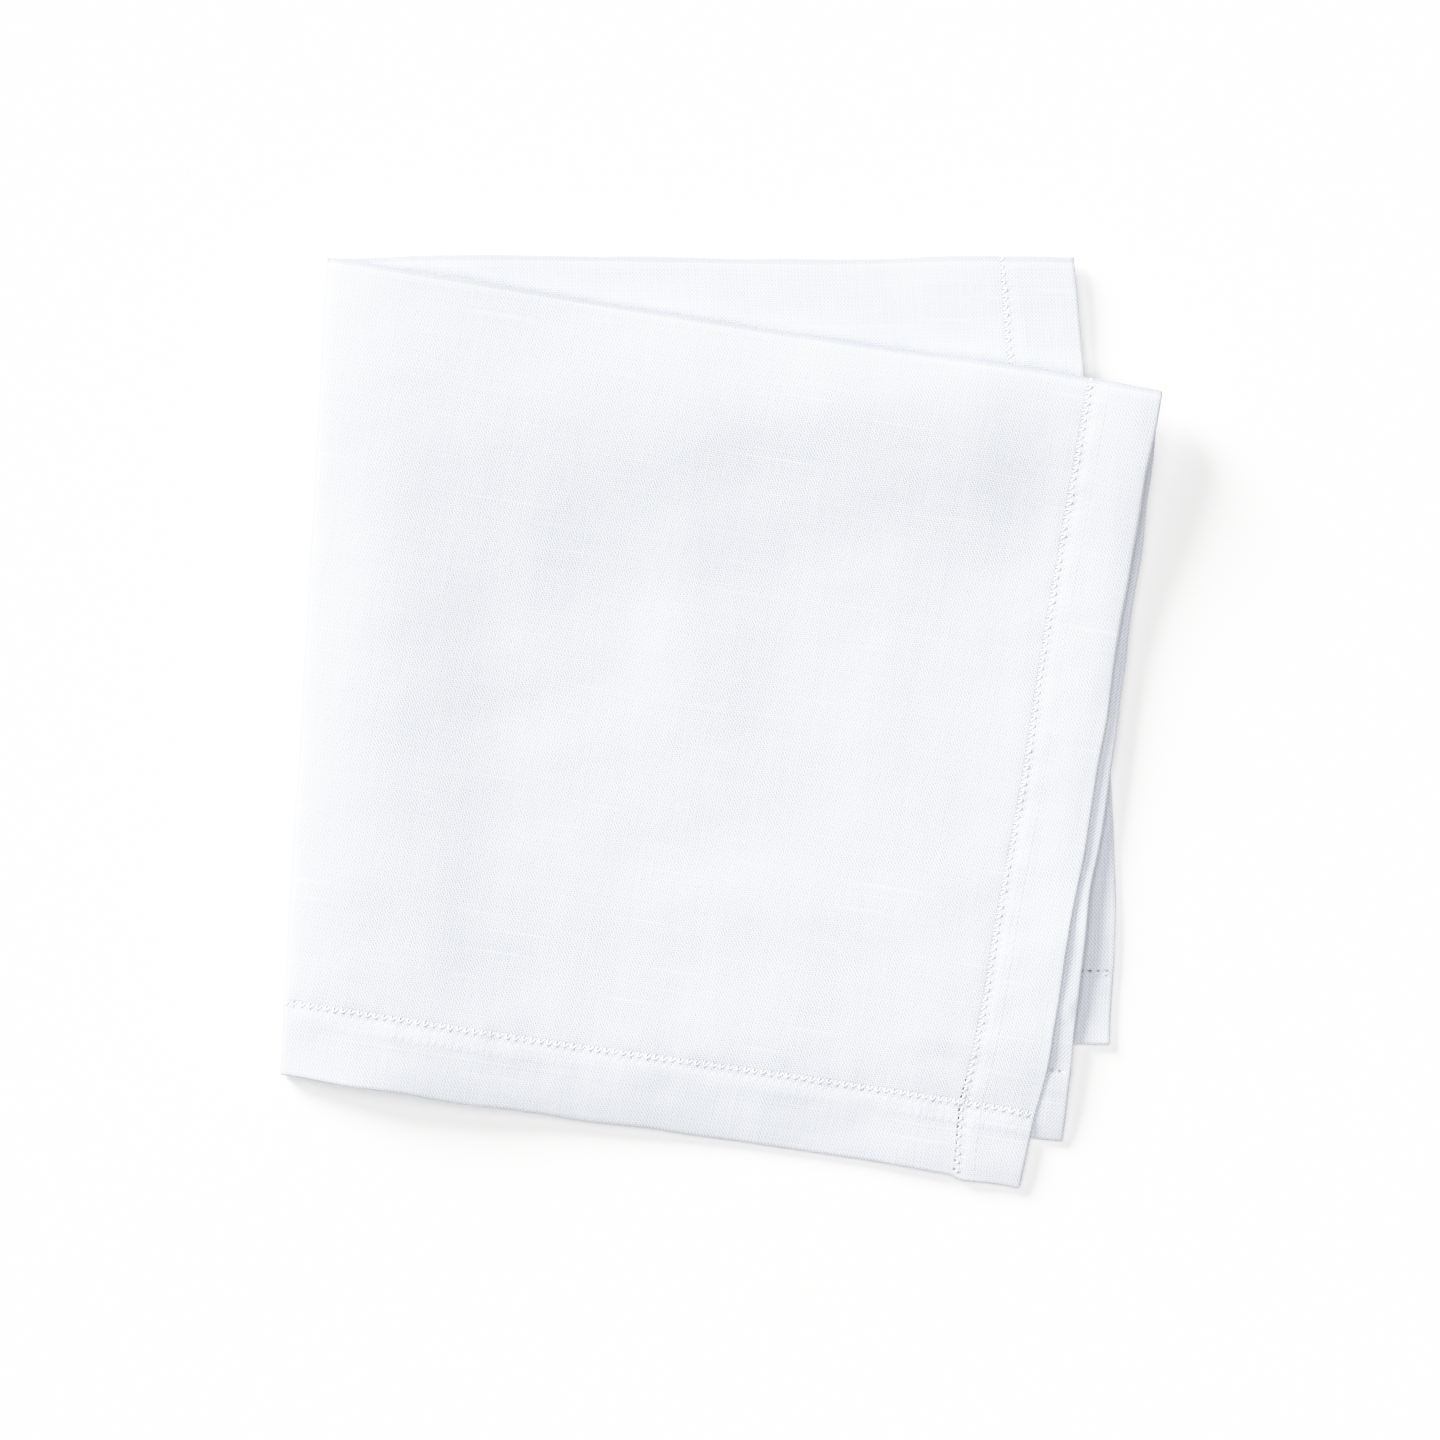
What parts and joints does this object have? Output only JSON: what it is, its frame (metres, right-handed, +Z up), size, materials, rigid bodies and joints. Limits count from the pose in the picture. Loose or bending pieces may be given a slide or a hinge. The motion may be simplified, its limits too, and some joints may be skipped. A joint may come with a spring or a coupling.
{
  "type": "folded pocket square",
  "caption": "Square of plain linen with a stitched hem all round, folded in half and then in quarters and laid flat, its layers fanned a little.",
  "frame": {"origin": "middle of the folded square's box, on the surface it lies on", "axes": "+Z up, +Y towards the first fold along the top, +X away from the second fold on the left"},
  "size_m": [0.183, 0.193, 0.011],
  "materials": {
    "linen": "plain-woven linen, matt, with slubs"
  },
  "bodies": {
    "root": {"folded_linen_square": "linen"}
  },
  "joints": []
}
